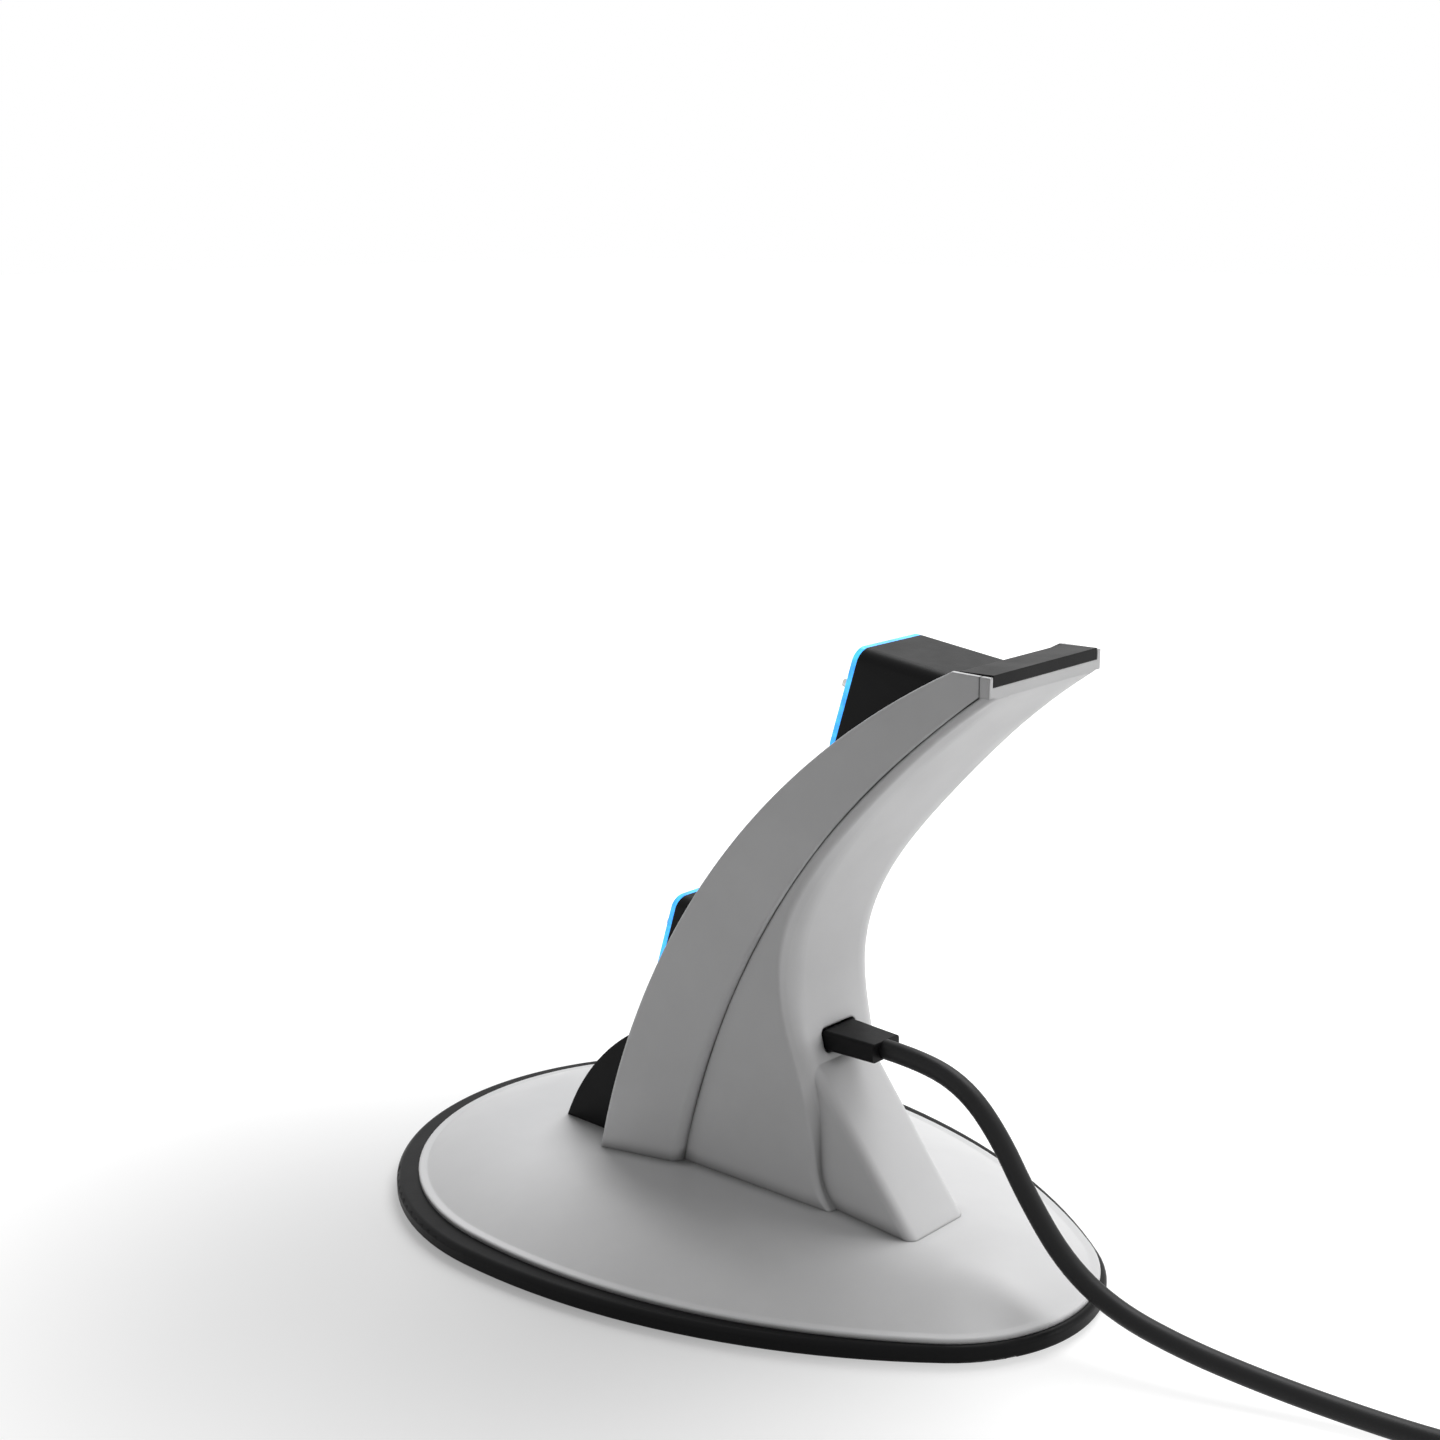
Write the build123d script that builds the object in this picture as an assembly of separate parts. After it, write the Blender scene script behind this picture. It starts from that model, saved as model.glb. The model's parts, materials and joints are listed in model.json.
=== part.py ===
from build123d import *
import os
from math import asin, cos, degrees, pi, radians, sin, sqrt, tan

# Frame: X runs across with the user's right at +X, Y from front to back, Z up.
# The origin is the middle of the base on the table.

# Walls and fits
wall = 2.2                # moulded walls of the stand and base
fit_gap = 0.2             # clearance between moulded pieces
screw_clearance = 0.2     # round a screw in a clearance hole

# Base: an egg-shaped oval of four tangent arcs
base_span = 84.0          # from the middle of the nose arc to the middle of the tail arc
tray_nose_radius = 69.5
tray_tail_radius = 39.5
tray_side_radius = 168.0
cover_nose_margin = 5.5   # tray that shows ahead of the cover
cover_tail_margin = 1.5
cover_side_margin = 3.0
foot_stand_off = 1.0      # tray above the table
tray_height = 4.0
tray_floor = 2.0
tray_top_round = 1.4
tray_bottom_round = 0.8
tray_ledge = 5.0          # width of the shelf that carries the cover
cover_flange = 1.2
cover_flange_round = 0.5
cover_step = 2.2          # flat step between the edge and the dome
cover_crown_inset = 30.0  # the dome is flat inside this line
cover_dome_height = 7.3
base_length = tray_nose_radius + base_span + tray_tail_radius
nose_y = tray_nose_radius - base_length / 2
tail_y = nose_y + base_span
tray_top = foot_stand_off + tray_height
flange_top = tray_top + cover_flange
cover_top = flange_top + cover_dome_height

# Rubber feet and screws
foot_diameter = 13.0
foot_recess = 1.0
foot_places = ((38.0, -58.0), (-38.0, -58.0), (26.0, 62.0), (-26.0, 62.0))
screw_diameter = 3.0
screw_head_diameter = 5.6
screw_head_height = 1.6
screw_bite = 5.5          # thread inside a boss
screw_boss_diameter = 7.0
screw_boss_height = 8.0
base_screw_places = ((44.0, -30.0), (-44.0, -30.0), (34.0, 30.0), (-34.0, 30.0))
toe_screw_y = -40.0
shell_screw_places = (2.0, 30.0)

# Stand: two arcs in side view bound the side bands
stand_top = 150.0
front_foot_y = -32.0
front_head_y = 72.4
front_arc_radius = 206.0
joint_foot_y = -10.9      # parting line between bands and rear shell
joint_arc_radius = 254.0
past_head = 5.0           # sections run past the top and are trimmed
band_half_width = 20.5
band_foot_rear_half = 14.5
band_flare_height = 90.0  # above the cover, where the flare has run out
band_return = 2.6
band_rear_rounding = ((2.4, 0.0), (2.0, 0.30), (0.7, 0.55), (0.5, 1.2))
band_front_round = 0.7
head_depth = 9.8          # from the top of the front arc to the back of the lip
joint_overrun = 0.5       # the parting line meets the lip's level behind the lip
strip_sink = 2.2          # of the top strip between its white ends
lip_thickness = 2.2
lip_depth = 6.8
side_lip = 1.2            # thin white wall beside the top strip
head_wrap = 2.4           # of the lip round the ends of the bands
lip_back_y = front_head_y + head_depth
lip_top = stand_top - strip_sink
wrap_y = lip_back_y - head_wrap
ledge_half = band_half_width - side_lip
joint_head_y = lip_back_y + joint_overrun

# Rear shell by share of the stand's height: depths behind the parting line, and half widths
rear_depths = (
    (46.0, 0.0), (40.2, 0.08), (33.2, 0.17), (27.4, 0.25), (23.3, 0.30), (12.3, 0.41), (5.7, 0.515),
    (4.6, 0.58), (3.4, 0.66), (3.2, 0.79), (3.3, 1.1),
)
crease_depths = (
    (45.1, 0.0), (39.2, 0.08), (31.9, 0.17), (20.1, 0.30), (9.6, 0.41), (3.5, 0.515),
    (2.7, 0.58), (2.5, 0.66), (2.4, 0.79), (2.5, 1.1),
)
joint_half_widths = ((11.9, 0.0), (20.1, 0.68), (20.1, 1.1))
crease_half_widths = ((10.6, 0.0), (15.0, 0.30), (17.2, 0.515), (18.7, 0.68), (18.6, 0.79), (18.6, 1.1))
rear_half_widths = (
    (6.4, 0.0), (8.8, 0.17), (11.2, 0.25), (12.3, 0.30), (12.5, 0.41), (12.5, 0.515), (13.2, 0.66),
    (13.2, 1.1),
)
rear_rounding = (
    (6.0, 0.0), (5.0, 0.17), (5.0, 0.30), (8.0, 0.41), (10.0, 0.515), (15.0, 0.62), (20.0, 0.68), (20.0, 1.1),
)
crease_rounding = ((1.0, 0.0), (1.0, 0.30), (1.6, 0.515), (2.4, 0.68), (2.4, 1.1))
shell_stations = 9
shell_floor = 2.5
spine_front = 20.0
spine_foot_back = 58.3
spine_foot_halves = (6.9, 10.4)    # at its front and its back
spine_slope = 0.82        # run back for each unit of drop
spine_top_halves = (10.3, 11.8)
spine_top_height = 52.0
spine_round = 2.4

# Front fascia and its toe
fascia_half_width = 14.6
fascia_recess = 1.8
fascia_depth = 9.5
toe_half_width = 12.0
toe_front_y = -52.2
toe_top = 47.0
toe_radius = 63.0

# Dock housings: boxes with a leaning front face
dock_half_width = 12.2
dock_height = 26.0
dock_corner = 3.0
lower_dock_depth = 24.0
upper_dock_depth = 32.0
dock_lean = 17.0          # front face from upright, in degrees
dock_rise = 10.5          # top and bottom against the square of the front face
dock_wall = 1.8
dock_front_plate = 2.0
dock_back_gap = 1.0       # ahead of the parting line
upper_dock_ahead = 35.4   # middle of its face ahead of and below the top of the front arc
upper_dock_below = 13.0
upper_dock_middle = (0, front_head_y - upper_dock_ahead, stand_top - upper_dock_below)
lower_dock_middle = (0, -17.6, 68.6)
strip_front_y = front_head_y + 1.4
strip_back_top = stand_top + 0.4
strip_front_top = stand_top + 0.1
bridge_front_y = front_head_y - 6.4      # where the box top begins to climb to the strip

# Light guides
guide_depth = 1.3
guide_width = 3.2
guide_gap = 0.1

# Dock plugs, boards and lights
plug_width = 8.25
plug_thickness = 2.4
plug_wall = 0.35
plug_reach = 6.5          # ahead of the front face
plug_hollow = 6.0
board_thickness = 1.6
board_stand_off = 1.6
board_width = 19.0
board_height = 20.0
stand_off_diameter = 4.0
stand_off_spread = (6.5, 7.5)
led_width = 1.8
led_height = 3.0
led_thickness = 1.2
light_hole = 1.2
light_offset = 9.7

# Main board and power socket
port_z = 53.2
port_width = 12.6
port_height = 5.8
port_corner = 1.5
main_board_half = 11.0
main_board_front = 5.0
main_board_back = 23.5
socket_width = 8.94
socket_thickness = 3.26
socket_length = 7.4
socket_mouth_y = 26.6
socket_wall = 0.25
socket_tongue_width = 6.2
socket_tongue = 0.7
shelf_thickness = 2.0
lead_diameter = 2.0
lead_straight = 6.5       # of the upper lead behind its board
lower_lead_x = 4.0
lower_lead_foot_y = 9.0
upper_lead_x = -4.0
upper_lead_bends = (
    (upper_dock_middle[1] + 16.0, upper_dock_middle[2] - 10.0),
    (upper_dock_middle[1] + 4.0, upper_dock_middle[2] - 24.0),
)
upper_lead_path = ((5.1, 0.61), (3.5, 0.50), (-3.1, 0.385))    # ahead of the parting line, by share of height

# Cord, its coil and its plugs
cord_diameter = 4.8
cord_plug_front_y = 27.4
cord_plug_length = 14.4
cord_plug_width = 11.8
cord_plug_thickness = 4.8
cord_plug_end_width = 10.0
cord_plug_end_thickness = 4.6
cord_plug_corner = 1.0
cord_shell_length = 6.2
coil_radius = 28.5        # to the middle of the turns
coil_turns = 3.25
coil_layers = 2
coil_columns = 3
coil_round = 3.0
tie_width = 9.0
tie_thickness = 1.2
supply_plug_length = 26.0
supply_plug_width = 15.6
supply_plug_thickness = 8.0
supply_neck_length = 8.0
supply_neck_diameter = 5.2
supply_shell_length = 12.0
supply_shell_width = 12.0
supply_shell_thickness = 4.5
supply_shell_wall = 0.4
supply_corner = 2.0
cord_lie_z = tie_thickness + cord_diameter / 2 + 0.2
cord_route = (
    (0.0, cord_plug_front_y + cord_plug_length, port_z),
    (0.0, 53.5, port_z),
    (0.6, 65.5, 50.0),
    (1.6, 75.2, 42.0),
    (2.8, 84.0, 30.5),
    (3.8, 95.0, 19.0),
    (4.0, 108.0, 12.4),
    (2.0, 124.0, 8.6),
    (-2.6, 141.0, 5.2),
    (-6.6, 158.0, 3.2),
    (-9.4, 174.0, 2.6),
    (-11.0, 189.0, cord_lie_z),
)


def arc_centre(start, end, radius):
    """Centre, behind and below, of an arc that rises from start to end (Y, Z)."""
    chord_y = end[0] - start[0]
    chord_z = end[1] - start[1]
    half = sqrt(chord_y ** 2 + chord_z ** 2) / 2
    reach = sqrt(radius ** 2 - half ** 2)
    middle_y = (start[0] + end[0]) / 2
    middle_z = (start[1] + end[1]) / 2
    return (middle_y + reach * chord_z / (2 * half), middle_z - reach * chord_y / (2 * half))


front_centre = arc_centre((front_foot_y, cover_top), (front_head_y, stand_top), front_arc_radius)
joint_centre = arc_centre((joint_foot_y, cover_top), (joint_head_y, lip_top), joint_arc_radius)
fascia_radius = front_arc_radius - fascia_recess


def arc_angle(centre, radius, z):
    """Angle in degrees at which an arc passes a height."""
    return 180 - degrees(asin((z - centre[1]) / radius))


def arc_point(centre, radius, angle):
    return (centre[0] + radius * cos(radians(angle)), centre[1] + radius * sin(radians(angle)))


def arc_y(centre, radius, z):
    """Y at which an arc passes a height."""
    return centre[0] - sqrt(radius ** 2 - (z - centre[1]) ** 2)


def at_height(line, z):
    """Value of a broken line at a height of the stand."""
    share = max(0.0, (z - cover_top) / (stand_top - cover_top))
    for (low, low_share), (high, high_share) in zip(line, line[1:]):
        if share <= high_share:
            return low + (high - low) * (share - low_share) / (high_share - low_share)
    return line[-1][0]


def upright(x, y, bottom, top, diameter):
    """Cylinder that stands on a point of the plan."""
    seat = (Align.CENTER, Align.CENTER, Align.MIN)
    return Pos(x, y, bottom) * Cylinder(diameter / 2, top - bottom, align=seat)


def block(half_width, y_low, y_high, z_low, z_high):
    """Box that reaches as far to the left as to the right."""
    middle = Pos(0, (y_low + y_high) / 2, (z_low + z_high) / 2)
    return middle * Box(2 * half_width, y_high - y_low, z_high - z_low)


def side_slab(edges, half_width):
    """Closed outline in Y and Z, as far to the left as to the right."""
    return extrude(Plane.YZ * make_face(edges), half_width, both=True)


def arch_drum(centre, radius):
    """Cylinder across the stand about the centre of one of its arcs."""
    return Pos(0, centre[0], centre[1]) * Rot(0, 90, 0) * Cylinder(radius, 2 * base_length)


def stadium_bar(width, thickness, length):
    """Round-ended bar along +Z."""
    return extrude(SlotOverall(width, thickness), length)


def stadium_cup(width, thickness, length, skin, depth):
    """Round-ended bar, hollow for a depth from its far end."""
    bore = stadium_bar(width - 2 * skin, thickness - 2 * skin, depth)
    return stadium_bar(width, thickness, length) - Pos(0, 0, length - depth) * bore


def tube(route, radii, diameter):
    """Round tube along straight runs joined by tangent arcs."""
    path = FilletPolyline(*route, radius=radii)
    section = Plane(origin=path @ 0, z_dir=path % 0) * Circle(diameter / 2)
    swept = sweep(section, path=path)
    want = pi * diameter ** 2 / 4 * path.length
    print("tube length", round(path.length, 1), "volume share", round(swept.volume / want, 4))
    return swept, path.length


def bend_radii(route):
    """As large a bend at each corner as its two runs allow."""
    points = [Vector(*point) for point in route]
    radii = []
    for before, corner, after in zip(points, points[1:], points[2:]):
        arriving = corner - before
        leaving = after - corner
        turn = arriving.get_angle(leaving)
        radii.append(0.45 * min(arriving.length, leaving.length) / tan(radians(turn / 2)))
    print("bend radii", [round(radius, 1) for radius in radii])
    return radii


def oval(nose_radius, tail_radius, side_radius, z, inset):
    """Egg-shaped face of four tangent arcs at height z, drawn in by inset."""
    to_nose = side_radius - nose_radius
    to_tail = side_radius - tail_radius
    along = (to_nose ** 2 - to_tail ** 2 + base_span ** 2) / (2 * base_span)
    across = sqrt(to_nose ** 2 - along ** 2)
    nose = nose_radius - inset
    tail = tail_radius - inset
    nose_x = nose * across / to_nose
    nose_end = nose_y - nose * along / to_nose
    tail_x = tail * across / to_tail
    tail_end = tail_y + tail * (base_span - along) / to_tail
    side = side_radius - inset
    slant = (base_span - along) / to_tail - along / to_nose
    level = across / to_nose + across / to_tail
    side_x = side * level / sqrt(level ** 2 + slant ** 2) - across
    side_y = side * slant / sqrt(level ** 2 + slant ** 2) + nose_y + along
    edges = [
        ThreePointArc((-nose_x, nose_end), (0, nose_y - nose), (nose_x, nose_end)),
        ThreePointArc((nose_x, nose_end), (side_x, side_y), (tail_x, tail_end)),
        ThreePointArc((tail_x, tail_end), (0, tail_y + tail), (-tail_x, tail_end)),
        ThreePointArc((-tail_x, tail_end), (-side_x, side_y), (-nose_x, nose_end)),
    ]
    return Pos(0, 0, z) * Face(Wire(edges))


def tray_oval(z):
    return oval(tray_nose_radius, tray_tail_radius, tray_side_radius, z, 0)


def cover_oval(z, inset=0.0):
    nose = tray_nose_radius - cover_nose_margin
    tail = tray_tail_radius - cover_tail_margin
    side = tray_side_radius - cover_side_margin
    return oval(nose, tail, side, z, inset)


def dome(foot_inset, foot_z, crown_z):
    """Crowned solid that rises from an inset oval and levels out at the crown."""
    sections = []
    for share in (0.0, 0.12, 0.28, 0.46, 0.7, 1.0):
        rise = 1 - (1 - share) ** 2
        inset = foot_inset + share * (cover_crown_inset - foot_inset)
        sections.append(cover_oval(foot_z + rise * (crown_z - foot_z), inset))
    return loft(sections)


def screw(x, y, seat_z, length):
    """Screw driven upwards, with its head under a face at seat_z."""
    shank = upright(x, y, seat_z, seat_z + length, screw_diameter)
    return shank + upright(x, y, seat_z - screw_head_height, seat_z, screw_head_diameter)


def make_base():
    """Tray, cover, feet, base screws and stand screws."""
    tray = extrude(tray_oval(foot_stand_off), tray_height)
    tray = fillet(tray.faces().sort_by(Axis.Z)[-1].edges(), tray_top_round)
    tray = fillet(tray.faces().sort_by(Axis.Z)[0].edges(), tray_bottom_round)
    tray -= extrude(cover_oval(foot_stand_off + tray_floor, tray_ledge), tray_height)

    cover = extrude(cover_oval(tray_top), cover_flange)
    cover = fillet(cover.faces().sort_by(Axis.Z)[-1].edges(), cover_flange_round)
    cover += dome(cover_step, flange_top, cover_top)
    cover -= dome(cover_step + wall, tray_top, cover_top - wall)

    feet = []
    for x, y in foot_places:
        seat = foot_stand_off + foot_recess
        tray -= upright(x, y, 0, seat, foot_diameter + 2 * fit_gap)
        feet.append(upright(x, y, 0, seat, foot_diameter))

    base_screws = []
    seat = foot_stand_off + screw_head_height + fit_gap
    boss_bottom = seat + tray_floor
    boss_room = extrude(cover_oval(0), tray_top)
    boss_room += dome(cover_step + wall / 2, tray_top, cover_top - wall / 2)
    for x, y in base_screw_places:
        tray += upright(x, y, foot_stand_off, boss_bottom, screw_boss_diameter + 2 * wall)
        tray -= upright(x, y, 0, seat, screw_head_diameter + 2 * screw_clearance)
        tray -= upright(x, y, 0, boss_bottom, screw_diameter + 2 * screw_clearance)
        cover += upright(x, y, boss_bottom, cover_top, screw_boss_diameter) & boss_room
        cover -= upright(x, y, boss_bottom, boss_bottom + screw_bite, screw_diameter)
        base_screws.append(screw(x, y, seat, tray_floor + screw_bite))

    stand_screws = []
    seat = cover_top - wall
    for y in (toe_screw_y, *shell_screw_places):
        cover -= upright(0, y, seat, cover_top, screw_diameter + 2 * screw_clearance)
        stand_screws.append(screw(0, y, seat, wall + screw_bite))
    return tray, cover, feet, base_screws, stand_screws


def screw_boss(y):
    return upright(0, y, cover_top, cover_top + screw_boss_height, screw_boss_diameter)


def screw_pilot(y):
    return upright(0, y, cover_top, cover_top + screw_bite, screw_diameter)


def band_section(share):
    """Channel section of the right band, in a plane across the arch."""
    foot_front = arc_angle(front_centre, front_arc_radius, cover_top)
    foot_joint = arc_angle(joint_centre, joint_arc_radius, cover_top)
    end_front = arc_angle(front_centre, front_arc_radius, stand_top + past_head)
    end_joint = arc_angle(joint_centre, joint_arc_radius, stand_top + past_head)
    front = arc_point(front_centre, front_arc_radius, foot_front + share * (end_front - foot_front))
    rear_radius = joint_arc_radius + fit_gap
    rear = arc_point(joint_centre, rear_radius, foot_joint + share * (end_joint - foot_joint))
    if share == 0:
        rear = (arc_y(joint_centre, rear_radius, cover_top), cover_top)
    flare = min(1.0, (rear[1] - cover_top) / band_flare_height)
    rear_half = band_foot_rear_half + flare * (band_half_width - band_foot_rear_half)
    depth = sqrt((rear[0] - front[0]) ** 2 + (rear[1] - front[1]) ** 2)
    inner_edge = fascia_half_width + fit_gap
    corners = (
        (inner_edge, 0, 0),
        (band_half_width, 0, band_front_round),
        (rear_half, depth, at_height(band_rear_rounding, rear[1])),
        (rear_half - wall - band_return, depth, 0),
        (rear_half - wall - band_return, depth - wall, 0),
        (rear_half - wall, depth - wall, 0),
        (band_half_width - wall, wall, 0),
        (inner_edge, wall, 0),
    )
    points = []
    for x, back, _ in corners:
        part = back / depth
        y = front[0] + part * (rear[0] - front[0])
        z = front[1] + part * (rear[1] - front[1])
        points.append((x, y, z))
    outline = FilletPolyline(*points, radius=[corner[2] for corner in corners], close=True)
    return Face(Wire(outline.edges()))


def make_band():
    """Right side band: a lofted channel trimmed at the head, with a ledge for the top strip."""
    stations = 7
    band = loft([band_section(step / (stations - 1)) for step in range(stations)])
    band &= block(2 * band_half_width, -base_length, wrap_y - fit_gap, 0, stand_top)
    return band - block(ledge_half, 0, base_length, lip_top, 2 * stand_top)


def shell_section(share, inner):
    """Section of the rear shell in a plane that turns from level at the foot to square at the head."""
    foot = arc_angle(joint_centre, joint_arc_radius, cover_top)
    head = arc_angle(joint_centre, joint_arc_radius, stand_top + past_head)
    angle = foot + share * (head - foot)
    joint = arc_point(joint_centre, joint_arc_radius, angle)
    dip = radians((180 - angle) * share)

    def place(x, depth):
        return (x, joint[0] + depth * cos(dip), joint[1] - depth * sin(dip))

    def depth_to(depths):
        """How far along the section a line lies whose level depths behind the parting line are given."""
        near = 0.0
        far = base_length / 2
        for _ in range(40):
            middle = (near + far) / 2
            _, y, z = place(0, middle)
            if y < arc_y(joint_centre, joint_arc_radius, z) + at_height(depths, z):
                near = middle
            else:
                far = middle
        return near

    crease_depth = depth_to(crease_depths)
    rear_depth = depth_to(rear_depths)
    crease_z = place(0, crease_depth)[2]
    rear_z = place(0, rear_depth)[2]
    joint_half = at_height(joint_half_widths, joint[1])
    crease_half = at_height(crease_half_widths, crease_z)
    rear_half = at_height(rear_half_widths, rear_z)
    front_depth = 0.0
    bend = at_height(crease_rounding, crease_z)
    rear_bend = at_height(rear_rounding, rear_z)
    radii = [0, bend, rear_bend, rear_bend, bend, 0]
    if inner:
        front_depth = -2 * wall
        joint_half -= wall
        crease_half -= wall
        rear_half -= wall / 2
        crease_depth -= 1.2 * wall
        rear_depth -= 1.2 * wall
        radii = [0] * 6
    right = [(joint_half, front_depth), (crease_half, crease_depth), (rear_half, rear_depth)]
    left = [(-x, depth) for x, depth in reversed(right)]
    points = [place(x, depth) for x, depth in right + left]
    outline = FilletPolyline(*points, radius=radii, close=True)
    return Face(Wire(outline.edges()))


def spine_plan(halves, z, inset):
    """Plan of the spine at a height, rounded at its rear corners and drawn in by inset."""
    front_half = halves[0] - inset
    back_half = halves[1] - inset
    back = spine_foot_back - spine_slope * (z - cover_top) - inset * sqrt(1 + spine_slope ** 2)
    corners = (
        (front_half, spine_front), (back_half, back), (-back_half, back), (-front_half, spine_front))
    bend = spine_round - inset / 2
    plan = FilletPolyline(*corners, radius=[0, bend, bend, 0], close=True)
    return Pos(0, 0, z) * Face(Wire(plan.edges()))


def spine(inset):
    """Foot that slopes out behind the shell, drawn in by inset."""
    lower = spine_plan(spine_foot_halves, cover_top, inset)
    upper = spine_plan(spine_top_halves, spine_top_height, inset)
    return loft([lower, upper], ruled=True)


def make_rear_shell():
    """Rear body of the stand with its port, shelf, lip and screw bosses."""
    shares = [step / (shell_stations - 1) for step in range(shell_stations)]
    outer = loft([shell_section(share, False) for share in shares]) + spine(0)
    hollow = loft([shell_section(share, True) for share in shares]) + spine(wall)
    hollow &= block(base_length, -base_length, base_length, cover_top + shell_floor, 2 * stand_top)
    shell = outer - hollow

    shelf_top = port_z - socket_thickness / 2 - board_thickness
    shelf = block(base_length, main_board_front, base_length, shelf_top - shelf_thickness, shelf_top)
    shell += shelf & outer
    port = Plane.XZ * RectangleRounded(port_width, port_height, port_corner)
    shell -= Pos(0, base_length, port_z) * extrude(port, base_length - main_board_back)
    for y in shell_screw_places:
        shell += screw_boss(y)
        shell -= screw_pilot(y)

    shell &= block(2 * band_half_width, -base_length, lip_back_y, 0, lip_top)
    lip_half = band_half_width - wall - band_return - fit_gap
    shell += block(lip_half, lip_back_y - lip_depth, lip_back_y, lip_top - lip_thickness, lip_top)
    shell += block(band_half_width, wrap_y, lip_back_y, lip_top - lip_thickness, stand_top)
    return shell - block(ledge_half, 0, base_length, lip_top, 2 * stand_top)


def dock_plane(middle):
    lean = radians(dock_lean)
    return Plane(origin=middle, x_dir=(1, 0, 0), z_dir=(0, -cos(lean), sin(lean)))


def dock_prism(face, start, end):
    """Face pushed back from one depth to another along the rise of the box."""
    rise = tan(radians(dock_rise))
    direction = Vector(0, rise, -1)
    placed = Pos(0, start * rise, -start) * face
    return extrude(placed, (end - start) * direction.length, dir=direction.normalized())


def dock_face(grow):
    return RectangleRounded(2 * (dock_half_width + grow), dock_height + 2 * grow, dock_corner + grow)


def guide_opening(gap):
    return RectangleRounded(
        2 * (dock_half_width - guide_width - gap), dock_height - 2 * (guide_width + gap), dock_corner)


def strip_bridge():
    """Wide strip at the head, and the ramp that climbs to it from the top of the upper box."""
    rise_down = tan(radians(dock_lean - dock_rise))
    top_y = upper_dock_middle[1] + dock_height / 2 * sin(radians(dock_lean))
    top_z = upper_dock_middle[2] + dock_height / 2 * cos(radians(dock_lean))
    start_z = top_z - (bridge_front_y - top_y) * rise_down
    ramp = Polyline(
        (bridge_front_y, start_z), (strip_front_y, strip_front_top), (lip_back_y, strip_back_top),
        (lip_back_y, lip_top), (strip_front_y, lip_top), (bridge_front_y, start_z - wall), close=True)
    strip_foot_y = arc_y(front_centre, front_arc_radius, lip_top) + fit_gap
    strip = Polyline(
        (strip_foot_y, lip_top), (strip_front_y, strip_front_top), (lip_back_y, strip_back_top),
        (lip_back_y, lip_top), close=True)
    return side_slab(ramp, dock_half_width) + side_slab(strip, ledge_half - fit_gap)


def make_dock(middle, depth, top_piece=None):
    """Housing, light guide, plug, board and lights of one dock."""
    plane = dock_plane(middle)
    plate_back = guide_depth + dock_front_plate
    board_front = plate_back + board_stand_off
    inside = RectangleRounded(
        2 * (dock_half_width - dock_wall), dock_height - 2 * dock_wall, dock_corner - dock_wall)

    housing = dock_prism(dock_face(0), guide_depth, depth)
    housing -= dock_prism(inside, plate_back, 2 * depth)
    housing += dock_prism(guide_opening(guide_gap), 0, guide_depth)
    for x in (-stand_off_spread[0], stand_off_spread[0]):
        for y in (-stand_off_spread[1], stand_off_spread[1]):
            housing += Pos(x, y, -board_front) * extrude(Circle(stand_off_diameter / 2), board_stand_off)
    plug_hole = stadium_bar(plug_width + 2 * fit_gap, plug_thickness + 2 * fit_gap, board_front)
    housing -= Pos(0, 0, -board_front) * plug_hole
    for x in (-light_offset, light_offset):
        housing -= Pos(x, 0, -board_front) * extrude(Circle(light_hole / 2), board_front)
    housing = plane * housing
    if top_piece:
        housing += top_piece
    behind = arch_drum(joint_centre, joint_arc_radius + dock_back_gap)
    housing -= behind & block(dock_half_width, -base_length, base_length, 0, lip_top - wall)

    guide = dock_prism(dock_face(0), 0, guide_depth)
    guide -= dock_prism(guide_opening(0), -guide_depth, 2 * guide_depth)
    guide = plane * guide
    board = Box(board_width, board_height, board_thickness)
    board = plane * Pos(0, 0, -board_front - board_thickness / 2) * board
    plug_length = board_front + plug_reach
    plug = stadium_cup(plug_width, plug_thickness, plug_length, plug_wall, plug_hollow)
    plug = plane * Pos(0, 0, -board_front) * plug
    leds = []
    led_x = board_width / 2 - led_width / 2
    for x in (-led_x, led_x):
        led = Pos(x, 0, -board_front + led_thickness / 2) * Box(led_width, led_height, led_thickness)
        leds.append(plane * led)
    lead_root = plane.from_local_coords((0, 0, -board_front - board_thickness))
    lead_point = plane.from_local_coords((0, 0, -board_front - board_thickness - lead_straight))
    return housing, guide, board, plug, leds, lead_root, lead_point


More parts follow.
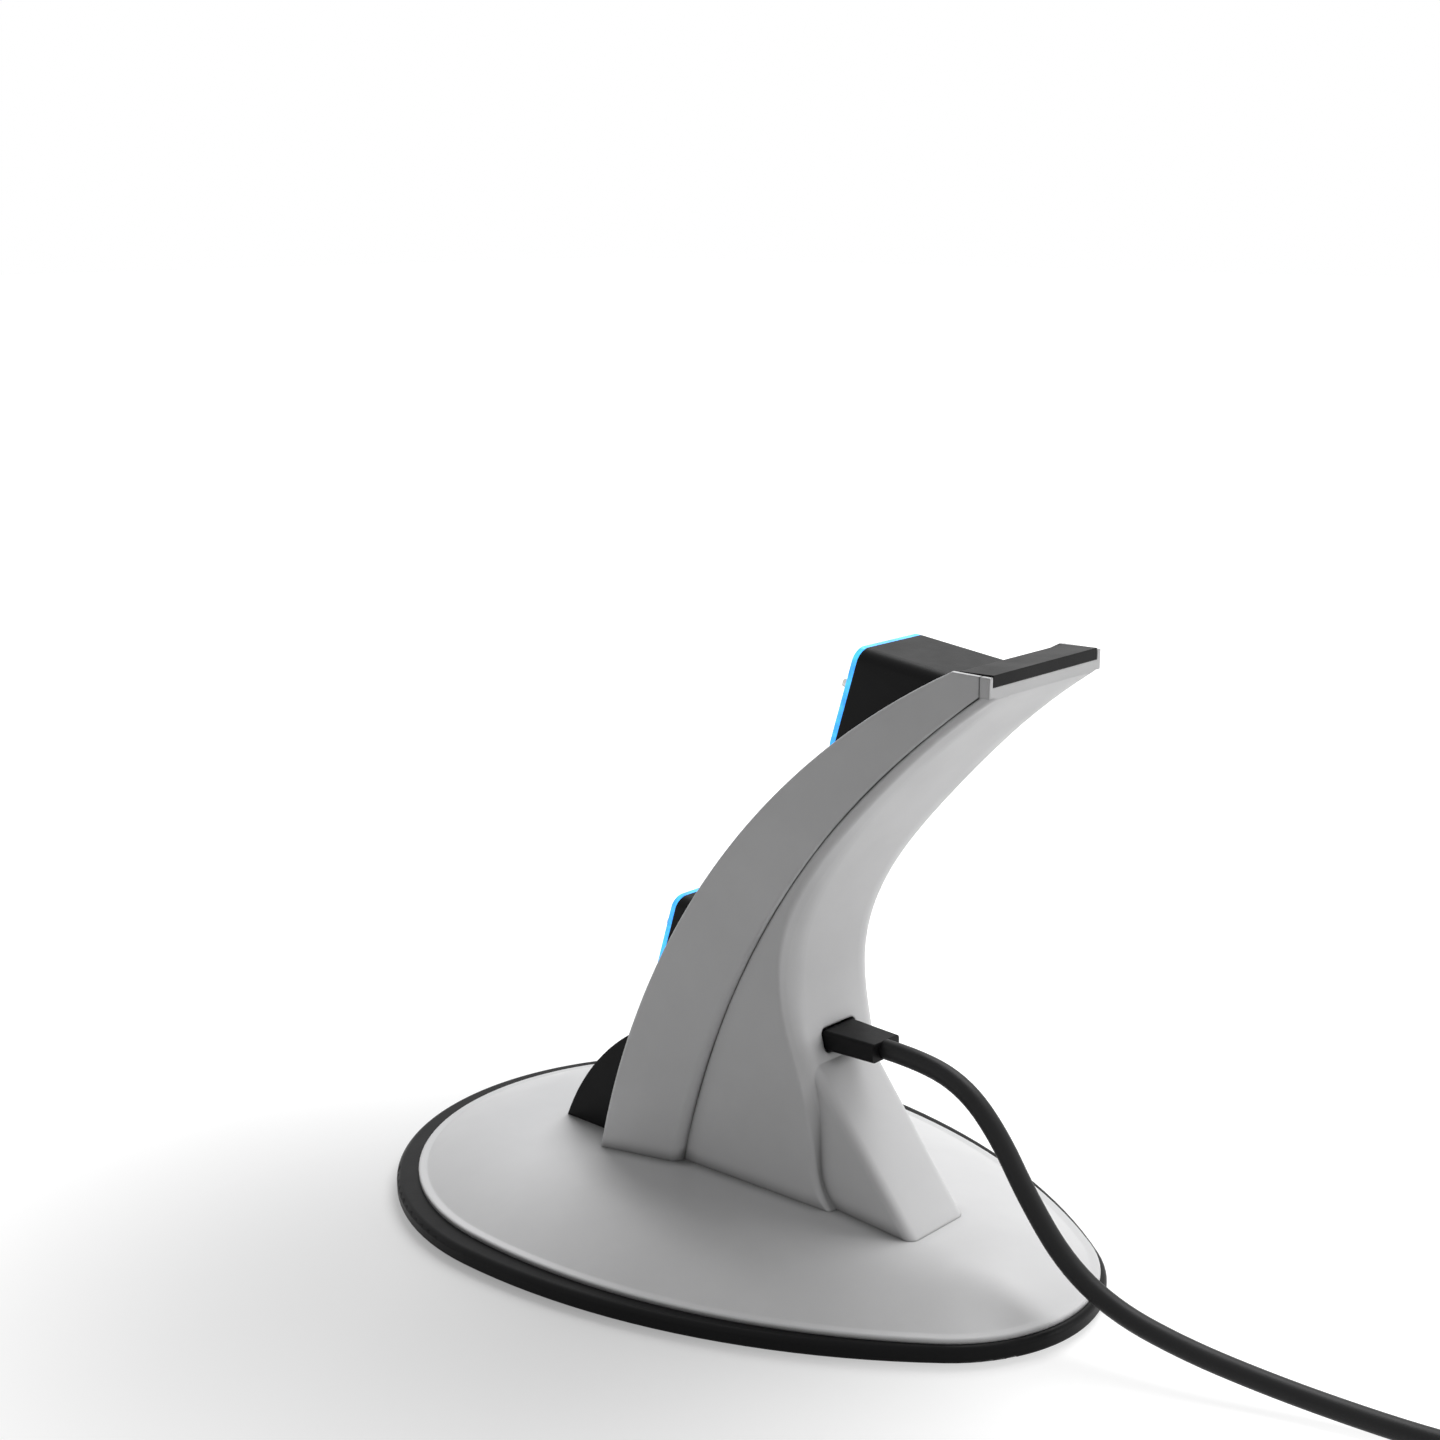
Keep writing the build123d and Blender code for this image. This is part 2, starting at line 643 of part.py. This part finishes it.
def make_fascia():
    """Black front between the bands, with windows for the boxes and a toe on the base."""
    inner_half = fascia_half_width - wall
    fascia = arch_drum(front_centre, fascia_radius) - arch_drum(front_centre, fascia_radius - fascia_depth)
    fascia &= block(fascia_half_width, front_foot_y - wall, lip_back_y, cover_top, lip_top - wall)
    channel = arch_drum(front_centre, fascia_radius - wall)
    fascia -= channel & block(inner_half, -base_length, base_length, 0, 2 * stand_top)

    toe_head = (arc_y(front_centre, fascia_radius, toe_top), toe_top)
    toe_foot = (toe_front_y, cover_top)
    toe_centre = arc_centre(toe_foot, toe_head, toe_radius)
    slope = block(toe_half_width, toe_front_y, toe_head[0], cover_top, toe_top)
    skirt = block(toe_half_width - wall, toe_front_y, toe_head[0], cover_top, toe_top)
    behind = arch_drum(front_centre, fascia_radius)
    toe = (slope & arch_drum(toe_centre, toe_radius)) - behind
    toe -= (skirt & arch_drum(toe_centre, toe_radius - wall)) - behind
    boss = upright(0, toe_screw_y, cover_top, toe_top, screw_boss_diameter)
    toe += boss & arch_drum(toe_centre, toe_radius - wall / 2)
    fascia += toe
    fascia -= screw_pilot(toe_screw_y)

    for middle in (upper_dock_middle, lower_dock_middle):
        fascia -= dock_plane(middle) * dock_prism(dock_face(fit_gap), -upper_dock_depth, 2 * upper_dock_depth)
    slot_half = dock_half_width + fit_gap
    fascia -= block(slot_half, upper_dock_middle[1], base_length, upper_dock_middle[2], 2 * stand_top)
    return fascia - arch_drum(joint_centre, joint_arc_radius + wall)


def lead_notch():
    """Way for the upper lead through the floor of the upper box."""
    (back, top), (front, bottom) = upper_lead_bends[:2]
    return Pos(upper_lead_x, 0, 0) * block(lead_diameter, front, back, bottom, top)


def make_power(lower_root, upper_root, upper_point):
    """Main board, its socket, and the leads to the dock boards."""
    board_top = port_z - socket_thickness / 2
    board = block(main_board_half, main_board_front, main_board_back, board_top - board_thickness, board_top)
    socket = stadium_cup(socket_width, socket_thickness, socket_length, socket_wall, socket_length - 1)
    tongue = Pos(0, 0, socket_length / 2) * Box(socket_tongue_width, socket_tongue, socket_length - 1)
    facing_back = Plane(origin=(0, socket_mouth_y - socket_length, port_z), x_dir=(1, 0, 0), z_dir=(0, 1, 0))
    socket = facing_back * (socket + tongue)

    lower_turn_z = lower_root.Z - (lower_lead_foot_y - lower_root.Y) * tan(radians(dock_lean))
    lower_route = (
        (lower_lead_x, lower_root.Y, lower_root.Z),
        (lower_lead_x, lower_lead_foot_y, lower_turn_z),
        (lower_lead_x, lower_lead_foot_y, board_top),
    )
    lower_lead, _ = tube(lower_route, bend_radii(lower_route), lead_diameter)
    upper_route = [(upper_lead_x, upper_root.Y, upper_root.Z), (upper_lead_x, upper_point.Y, upper_point.Z)]
    for y, z in upper_lead_bends:
        upper_route.append((upper_lead_x, y, z))
    for ahead, share in upper_lead_path:
        z = cover_top + share * (stand_top - cover_top)
        y = arc_y(joint_centre, joint_arc_radius, z) - ahead
        upper_route.append((upper_lead_x, y, z))
    upper_route.append((upper_lead_x, y, board_top))
    upper_lead, _ = tube(upper_route, bend_radii(upper_route), lead_diameter)
    return board, socket, lower_lead, upper_lead


def make_cord():
    """Cord, its two plugs, its coil and the tie round the coil."""
    facing_back = Plane(origin=(0, cord_plug_front_y, port_z), x_dir=(1, 0, 0), z_dir=(0, 1, 0))
    front = RectangleRounded(cord_plug_width, cord_plug_thickness, cord_plug_corner)
    end = RectangleRounded(cord_plug_end_width, cord_plug_end_thickness, cord_plug_corner)
    plug = loft([front, Pos(0, 0, cord_plug_length) * end], ruled=True)
    plug = facing_back * plug
    shell = stadium_cup(plug_width, plug_thickness, cord_shell_length, plug_wall, cord_shell_length - 0.8)
    shell = facing_back * Rot(0, 180, 0) * shell

    cord, run = tube(cord_route, bend_radii(cord_route), cord_diameter)
    before = Vector(*cord_route[-2])
    last = Vector(*cord_route[-1])
    heading = Vector(last.X - before.X, last.Y - before.Y, 0).normalized()
    band = coil_columns * cord_diameter
    outer = coil_radius + band / 2
    reach = sqrt(outer ** 2 - coil_radius ** 2)
    aside = Vector(-heading.Y, heading.X, 0)
    inside_run = cord_diameter
    middle = last + heading * (reach - inside_run) + aside * coil_radius
    height = coil_layers * cord_diameter
    ring = Cylinder(outer, height) - Cylinder(outer - band, height)
    ring = fillet(ring.faces().sort_by(Axis.Z)[-1].edges(), coil_round)
    coil = Pos(middle.X, middle.Y, tie_thickness + height / 2) * ring
    cord -= coil

    side = Pos(middle.X - coil_radius, middle.Y, tie_thickness + height / 2)
    tie = Box(band + 2 * tie_thickness, tie_width, height + 2 * tie_thickness)
    tie = side * fillet(tie.edges().filter_by(Axis.Y), coil_round)
    tie -= coil

    leave_radius = coil_radius + 0.8 * cord_diameter
    leave_reach = sqrt(outer ** 2 - leave_radius ** 2)
    tail = Plane(
        origin=(middle.X - leave_reach, middle.Y + leave_radius, supply_plug_thickness / 2),
        x_dir=(0, 1, 0), z_dir=(-1, 0, 0))
    body = RectangleRounded(supply_plug_width, supply_plug_thickness, supply_corner)
    body = Pos(0, 0, supply_neck_length) * extrude(body, supply_plug_length)
    neck = Pos(0, 0, -inside_run) * extrude(Circle(supply_neck_diameter / 2), supply_neck_length + inside_run)
    supply_plug = tail * (body + neck) - coil
    contact = Box(supply_shell_width, supply_shell_thickness, supply_shell_length)
    hollow = Box(
        supply_shell_width - 2 * supply_shell_wall, supply_shell_thickness - 2 * supply_shell_wall,
        supply_shell_length - 1)
    contact -= Pos(0, 0, 0.5) * hollow
    contact_middle = supply_neck_length + supply_plug_length + supply_shell_length / 2
    supply_shell = tail * Pos(0, 0, contact_middle) * contact
    length = run + reach + coil_turns * 2 * pi * coil_radius + leave_reach
    print("cord length", round(length), "coil middle", middle)
    return plug, shell, cord, coil, tie, supply_plug, supply_shell


nodes = {}
tray, cover, feet, base_screws, stand_screws = make_base()
nodes["base_tray"] = tray
nodes["base_cover"] = cover
nodes["rubber_feet"] = Compound(feet)
nodes["base_screws"] = Compound(base_screws)
nodes["stand_screws"] = Compound(stand_screws)

band = make_band()
nodes["right_side_band"] = band
nodes["left_side_band"] = mirror(band, Plane.YZ)
nodes["stand_rear_shell"] = make_rear_shell()
nodes["front_fascia"] = make_fascia()

lead_ends = {}
for level, middle, depth, top_piece in (
    ("upper", upper_dock_middle, upper_dock_depth, strip_bridge()),
    ("lower", lower_dock_middle, lower_dock_depth, None),
):
    housing, guide, board, plug, leds, *lead_ends[level] = make_dock(middle, depth, top_piece)
    nodes[level + "_dock_housing"] = housing - lead_notch()
    nodes[level + "_light_guide"] = guide
    nodes[level + "_dock_board"] = board
    nodes[level + "_dock_plug"] = plug
    nodes[level + "_dock_leds"] = Compound(leds)

board, socket, lower_lead, upper_lead = make_power(lead_ends["lower"][0], *lead_ends["upper"])
nodes["main_board"] = board
nodes["input_socket"] = socket
nodes["lower_power_lead"] = lower_lead
nodes["upper_power_lead"] = upper_lead

plug, shell, cord, coil, tie, supply_plug, supply_shell = make_cord()
nodes["cord_plug_body"] = plug
nodes["cord_plug_shell"] = shell
nodes["charging_cord"] = cord
nodes["cord_coil"] = coil
nodes["cord_tie"] = tie
nodes["supply_plug_body"] = supply_plug
nodes["supply_plug_shell"] = supply_shell

os.makedirs("parts", exist_ok=True)
for name, shape in nodes.items():
    export_step(shape, f"parts/{name}.step")
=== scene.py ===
import json
import math

import bpy
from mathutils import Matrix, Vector


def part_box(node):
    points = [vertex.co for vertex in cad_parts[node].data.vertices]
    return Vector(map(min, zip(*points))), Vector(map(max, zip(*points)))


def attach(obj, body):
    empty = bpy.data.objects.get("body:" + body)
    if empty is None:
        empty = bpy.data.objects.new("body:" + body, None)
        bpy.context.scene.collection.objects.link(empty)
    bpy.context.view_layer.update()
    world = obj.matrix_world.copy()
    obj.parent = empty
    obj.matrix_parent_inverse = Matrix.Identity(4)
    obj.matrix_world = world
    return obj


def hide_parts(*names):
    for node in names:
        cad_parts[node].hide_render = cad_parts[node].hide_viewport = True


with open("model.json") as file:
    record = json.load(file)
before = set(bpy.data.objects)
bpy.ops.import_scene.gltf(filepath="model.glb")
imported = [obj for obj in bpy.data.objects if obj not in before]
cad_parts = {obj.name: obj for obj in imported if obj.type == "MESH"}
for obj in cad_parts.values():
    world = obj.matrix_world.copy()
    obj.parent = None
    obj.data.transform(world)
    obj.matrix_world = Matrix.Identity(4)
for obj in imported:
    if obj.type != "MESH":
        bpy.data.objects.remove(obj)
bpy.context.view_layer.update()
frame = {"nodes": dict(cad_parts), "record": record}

nodes = frame["nodes"]

# Camera: behind the dock's right rear corner, looking a little down. Lens and sensor are in millimetres
CAMERA_PLACE = Vector((0.3789, 0.3333, 0.2451))
CAMERA_AIM = Vector((-0.7209, -0.6529, -0.2322))
CAMERA_LENS = 55.0
SENSOR_WIDTH = 36.0

# Cord, in metres: the same route as the tube, then the turns of the coil
CORD_DIAMETER = 0.0048
CORD_IN_SUPPLY_PLUG = 0.004
CORD_ROUTE = (
    (0.0, 0.0418, 0.0532),
    (0.0, 0.0535, 0.0532),
    (0.0006, 0.0655, 0.0500),
    (0.0016, 0.0752, 0.0420),
    (0.0028, 0.0840, 0.0305),
    (0.0038, 0.0950, 0.0190),
    (0.0040, 0.1080, 0.0124),
    (0.0020, 0.1240, 0.0086),
    (-0.0026, 0.1410, 0.0052),
    (-0.0066, 0.1580, 0.0032),
    (-0.0094, 0.1740, 0.0026),
    (-0.0110, 0.1890, 0.0038),
)
TURN_SPACING = 0.0050
LOW_TURN_Z = 0.0038
HIGH_TURN_Z = 0.0087
POINTS_PER_TURN = 18
RISE_START_TURN = 1.0
RISE_TURNS = 1 / 3
FALL_START_TURN = 3.0
END_TURN = 3.25

# Plastic: scales of clouding and sheen per metre, and the level of white left by the painted shade in its
# deepest grooves
CLOUD_SCALE = 38.0
SHEEN_SCALE = 95.0
PAINTED_CREVICE_SHADE_LEVEL = 0.38

# Light: the surround's level on the object, and the floor's glow, which is lower beside the dock's shaded
# side as a painted shadow
SKY_LIGHT = 0.24
FLOOR_HALF = 6.0
FLOOR_GLOW_IN_PAINTED_SHADOW = 0.30
FLOOR_PAINTED_SHADOW_MIDDLE = (0.075, -0.02, 0.0)
FLOOR_PAINTED_SHADOW_REACH = 0.26
TOP_LAMP = {"place": (-0.45, -0.05, 0.90), "aim": (0.0, 0.0, 0.05), "size": 0.8, "power": 7.2}
REAR_LAMP = {"place": (-0.45, 0.95, 0.26), "aim": (0.0, 0.02, 0.08), "size": 0.5, "power": 2.8}

# Sockets of the colour mix node, which share their names with its other kinds
MIX_SHARE = 0
MIX_FIRST = 6
MIX_SECOND = 7
MIX_RESULT = 2


def socket(node, name, value):
    node.inputs[name].default_value = value


def new_material(name):
    material = bpy.data.materials.new(name)
    material.use_nodes = True
    tree = material.node_tree
    shader = tree.nodes["Principled BSDF"]
    return material, tree, shader


def noise(tree, scale, detail=4.0, roughness=0.6):
    """Noise in metres of the object's own frame."""
    place = tree.nodes.new("ShaderNodeTexCoord")
    texture = tree.nodes.new("ShaderNodeTexNoise")
    socket(texture, "Scale", scale)
    socket(texture, "Detail", detail)
    socket(texture, "Roughness", roughness)
    tree.links.new(place.outputs["Object"], texture.inputs["Vector"])
    return texture.outputs["Fac"]


def map_range(tree, source, start, end, low, high, kind="LINEAR"):
    remap = tree.nodes.new("ShaderNodeMapRange")
    remap.interpolation_type = kind
    socket(remap, "From Min", start)
    socket(remap, "From Max", end)
    socket(remap, "To Min", low)
    socket(remap, "To Max", high)
    tree.links.new(source, remap.inputs["Value"])
    return remap.outputs["Result"]


def spread(tree, source, low, high):
    """Maps a noise's middle range to a range of values."""
    return map_range(tree, source, 0.3, 0.7, low, high)


def ramp(tree, source, start, end, low, high):
    """Maps one range to another with a soft start and end."""
    return map_range(tree, source, start, end, low, high, "SMOOTHSTEP")


def colour_mix(tree, blend="MIX"):
    mix = tree.nodes.new("ShaderNodeMix")
    mix.data_type = "RGBA"
    mix.blend_type = blend
    return mix


def tint(tree, source, dark, light):
    """Mixes two colours by a noise."""
    mix = colour_mix(tree)
    mix.inputs[MIX_FIRST].default_value = (*dark, 1.0)
    mix.inputs[MIX_SECOND].default_value = (*light, 1.0)
    tree.links.new(spread(tree, source, 0.0, 1.0), mix.inputs[MIX_SHARE])
    return mix.outputs[MIX_RESULT]


def painted_crevice_shade(tree, colour, reach):
    """Paints shade into a colour in grooves and inner corners, where other surfaces stand close."""
    near = tree.nodes.new("ShaderNodeAmbientOcclusion")
    near.samples = 8
    socket(near, "Distance", reach)
    mix = colour_mix(tree, "MULTIPLY")
    mix.inputs[MIX_SHARE].default_value = 1.0
    tree.links.new(colour, mix.inputs[MIX_FIRST])
    tree.links.new(ramp(tree, near.outputs["AO"], 0.3, 1.0, PAINTED_CREVICE_SHADE_LEVEL, 1.0), mix.inputs[MIX_SECOND])
    return mix.outputs[MIX_RESULT]


def moulded(
        name, dark, light, roughness, grain_scale, grain_depth, edge_round=0.0, specular=0.5, painted_shade_reach=0.0):
    """Moulded plastic: faint clouding, uneven sheen, a fine spark-eroded grain, softened edges and, where a
    reach is given, painted shade in grooves.
    """
    material, tree, shader = new_material(name)
    socket(shader, "Specular IOR Level", specular)
    colour = tint(tree, noise(tree, CLOUD_SCALE), dark, light)
    # Painted shade: the colour is darkened in grooves and inner corners, where other surfaces stand close.
    if painted_shade_reach:
        colour = painted_crevice_shade(tree, colour, painted_shade_reach)
    tree.links.new(colour, shader.inputs["Base Color"])
    sheen = spread(tree, noise(tree, SHEEN_SCALE, 6.0), roughness - 0.04, roughness + 0.05)
    tree.links.new(sheen, shader.inputs["Roughness"])
    bump = tree.nodes.new("ShaderNodeBump")
    socket(bump, "Strength", 0.35)
    socket(bump, "Distance", grain_depth)
    tree.links.new(noise(tree, grain_scale, 2.0), bump.inputs["Height"])
    if edge_round:
        bevel = tree.nodes.new("ShaderNodeBevel")
        bevel.samples = 6
        socket(bevel, "Radius", edge_round)
        tree.links.new(bevel.outputs["Normal"], bump.inputs["Normal"])
    tree.links.new(bump.outputs["Normal"], shader.inputs["Normal"])
    return material


def metal(name, dark, light, roughness):
    """Plated metal, faintly clouded, with an uneven sheen."""
    material, tree, shader = new_material(name)
    socket(shader, "Metallic", 1.0)
    tree.links.new(tint(tree, noise(tree, 300.0, 3.0), dark, light), shader.inputs["Base Color"])
    sheen = spread(tree, noise(tree, 140.0), roughness - 0.04, roughness + 0.04)
    tree.links.new(sheen, shader.inputs["Roughness"])
    return material


def glowing(name, deep, bright, strength):
    """Clear plastic lit from behind, a little brighter in patches."""
    material, tree, shader = new_material(name)
    patches = noise(tree, 260.0, 2.0)
    colour = tint(tree, patches, deep, bright)
    tree.links.new(colour, shader.inputs["Base Color"])
    tree.links.new(colour, shader.inputs["Emission Color"])
    level = spread(tree, patches, 0.85 * strength, 1.15 * strength)
    tree.links.new(level, shader.inputs["Emission Strength"])
    socket(shader, "Roughness", 0.18)
    return material


MATERIALS = {
    # The white plastic gets painted shade in its grooves and inner corners.
    "white_plastic": moulded(
        "white_plastic", (0.72, 0.72, 0.725), (0.76, 0.76, 0.765), roughness=0.44,
        grain_scale=2600.0, grain_depth=0.00004, edge_round=0.0008, painted_shade_reach=0.0042),
    "black_plastic": moulded(
        "black_plastic", (0.004, 0.004, 0.0043), (0.007, 0.007, 0.0074), roughness=0.42,
        grain_scale=2300.0, grain_depth=0.00005, edge_round=0.0004, specular=0.10),
    "light_guide": glowing("light_guide", (0.02, 0.27, 0.92), (0.05, 0.45, 1.0), strength=1.2),
    "led": glowing("led", (0.10, 0.35, 0.9), (0.5, 0.8, 1.0), strength=2.0),
    "plug_metal": metal("plug_metal", (0.52, 0.52, 0.50), (0.66, 0.66, 0.63), roughness=0.28),
    "screw_metal": metal("screw_metal", (0.34, 0.34, 0.35), (0.48, 0.48, 0.49), roughness=0.35),
    "circuit_board": moulded(
        "circuit_board", (0.008, 0.075, 0.03), (0.02, 0.12, 0.05), roughness=0.4,
        grain_scale=1500.0, grain_depth=0.00003),
    "lead_insulation": moulded(
        "lead_insulation", (0.20, 0.01, 0.01), (0.30, 0.02, 0.02), roughness=0.5,
        grain_scale=1800.0, grain_depth=0.00003),
    "foot_rubber": moulded(
        "foot_rubber", (0.012, 0.012, 0.012), (0.022, 0.022, 0.022), roughness=0.75,
        grain_scale=1400.0, grain_depth=0.00008),
    "cord_rubber": moulded(
        "cord_rubber", (0.007, 0.007, 0.0074), (0.012, 0.012, 0.0125), roughness=0.45,
        grain_scale=1700.0, grain_depth=0.00006, specular=0.22),
}

for part in frame["record"]["subparts"]:
    node = nodes[part["node"]]
    node.data.materials.clear()
    node.data.materials.append(MATERIALS[part["material_slot"]])


def coil_points():
    """Turns of the coil: in along the table, up, out on top, and down to the plug."""
    low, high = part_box("cord_coil")
    middle = (low + high) / 2
    radius = (high.x - low.x) / 2 - 1.5 * CORD_DIAMETER
    inner = radius - TURN_SPACING
    rise_start = RISE_START_TURN * math.tau
    rise_end = rise_start + RISE_TURNS * math.tau
    fall_start = FALL_START_TURN * math.tau
    end = END_TURN * math.tau
    steps = math.ceil(END_TURN * POINTS_PER_TURN)
    points = []
    for step in range(steps + 1):
        angle = end * step / steps
        if angle < rise_start:
            reach = radius - TURN_SPACING * angle / math.tau
            height = LOW_TURN_Z
        elif angle < rise_end:
            reach = inner
            height = LOW_TURN_Z + (HIGH_TURN_Z - LOW_TURN_Z) * (angle - rise_start) / (rise_end - rise_start)
        else:
            reach = inner + TURN_SPACING * (angle - rise_end) / math.tau
            height = HIGH_TURN_Z
        if angle > fall_start:
            height = HIGH_TURN_Z + (LOW_TURN_Z - HIGH_TURN_Z) * (angle - fall_start) / (end - fall_start)
        points.append((middle.x + reach * math.cos(angle), middle.y + reach * math.sin(angle), height))
    return points


def make_cord():
    """One smooth line from the plug at the back to the plug at the far end."""
    plug_low, plug_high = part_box("supply_plug_body")
    plug_middle = (plug_low + plug_high) / 2
    tail = (plug_high.x - CORD_IN_SUPPLY_PLUG, plug_middle.y, plug_middle.z)
    points = [*CORD_ROUTE, *coil_points()[1:], tail]
    curve = bpy.data.curves.new("charging_cord_line", "CURVE")
    curve.dimensions = "3D"
    curve.bevel_depth = CORD_DIAMETER / 2
    curve.bevel_resolution = 8
    curve.resolution_u = 6
    curve.use_fill_caps = True
    spline = curve.splines.new("NURBS")
    spline.points.add(len(points) - 1)
    for point, place in zip(spline.points, points):
        point.co = (*place, 1.0)
    spline.order_u = 3
    spline.use_endpoint_u = True
    cord = bpy.data.objects.new("charging_cord_visual", curve)
    bpy.context.scene.collection.objects.link(cord)
    curve.materials.append(MATERIALS["cord_rubber"])
    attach(cord, "root")
    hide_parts("charging_cord", "cord_coil")


def seen(tree):
    """1 for rays that come from the camera, a mirror or glass, and 0 for light on the object."""
    path = tree.nodes.new("ShaderNodeLightPath")
    either = tree.nodes.new("ShaderNodeMath")
    either.operation = "MAXIMUM"
    tree.links.new(path.outputs["Is Camera Ray"], either.inputs[0])
    tree.links.new(path.outputs["Is Glossy Ray"], either.inputs[1])
    any_of = tree.nodes.new("ShaderNodeMath")
    any_of.operation = "MAXIMUM"
    tree.links.new(either.outputs["Value"], any_of.inputs[0])
    tree.links.new(path.outputs["Is Transmission Ray"], any_of.inputs[1])
    return any_of.outputs["Value"]


def make_stage():
    """Pale floor that keeps the lamps' shadow, has a painted shadow where it glows less beside the dock, and
    turns white further out.
    """
    mesh = bpy.data.meshes.new("floor")
    corners = [(x * FLOOR_HALF, y * FLOOR_HALF, 0) for x, y in ((-1, -1), (1, -1), (1, 1), (-1, 1))]
    mesh.from_pydata(corners, [], [(0, 1, 2, 3)])
    floor = bpy.data.objects.new("floor", mesh)
    bpy.context.scene.collection.objects.link(floor)
    material, tree, shader = new_material("floor")
    colour = tint(tree, noise(tree, 3.0), (0.49, 0.49, 0.49), (0.51, 0.51, 0.51))
    tree.links.new(colour, shader.inputs["Base Color"])
    socket(shader, "Roughness", 0.9)
    socket(shader, "Specular IOR Level", 0.1)
    socket(shader, "Emission Color", (1.0, 1.0, 1.0, 1.0))
    # Painted shadow: the floor's glow seen by the camera is lower near a point beside the dock's shaded
    # side.
    place = tree.nodes.new("ShaderNodeTexCoord")
    distance = tree.nodes.new("ShaderNodeVectorMath")
    distance.operation = "DISTANCE"
    distance.inputs[1].default_value = FLOOR_PAINTED_SHADOW_MIDDLE
    tree.links.new(place.outputs["Object"], distance.inputs[0])
    level = ramp(tree, distance.outputs["Value"], 0.0, FLOOR_PAINTED_SHADOW_REACH, FLOOR_GLOW_IN_PAINTED_SHADOW, 1.0)
    glow_with_painted_shadow = tree.nodes.new("ShaderNodeMath")
    glow_with_painted_shadow.operation = "MULTIPLY"
    tree.links.new(level, glow_with_painted_shadow.inputs[0])
    tree.links.new(seen(tree), glow_with_painted_shadow.inputs[1])
    tree.links.new(glow_with_painted_shadow.outputs["Value"], shader.inputs["Emission Strength"])
    mesh.materials.append(material)


def make_world():
    """White surround that lights the object at a lower level."""
    world = bpy.data.worlds.new("surround")
    bpy.context.scene.world = world
    world.use_nodes = True
    tree = world.node_tree
    background = tree.nodes["Background"]
    socket(background, "Color", (1.0, 1.0, 1.0, 1.0))
    tree.links.new(ramp(tree, seen(tree), 0.0, 1.0, SKY_LIGHT, 1.0), background.inputs["Strength"])


def area_light(name, place, aim, size, power):
    light = bpy.data.lights.new(name, "AREA")
    light.shape = "DISK"
    light.size = size
    light.energy = power
    lamp = bpy.data.objects.new(name, light)
    bpy.context.scene.collection.objects.link(lamp)
    lamp.location = place
    lamp.rotation_mode = "QUATERNION"
    lamp.rotation_quaternion = (Vector(aim) - Vector(place)).to_track_quat("-Z", "Y")


def make_camera():
    data = bpy.data.cameras.new("camera")
    data.lens = CAMERA_LENS
    data.sensor_width = SENSOR_WIDTH
    data.clip_start = 0.01
    data.clip_end = 50.0
    camera = bpy.data.objects.new("camera", data)
    bpy.context.scene.collection.objects.link(camera)
    camera.location = CAMERA_PLACE
    camera.rotation_mode = "QUATERNION"
    camera.rotation_quaternion = CAMERA_AIM.to_track_quat("-Z", "Y")
    bpy.context.scene.camera = camera


make_cord()
make_stage()
make_world()
area_light("top", **TOP_LAMP)
area_light("rear", **REAR_LAMP)
make_camera()
bpy.context.scene.view_settings.view_transform = "Standard"
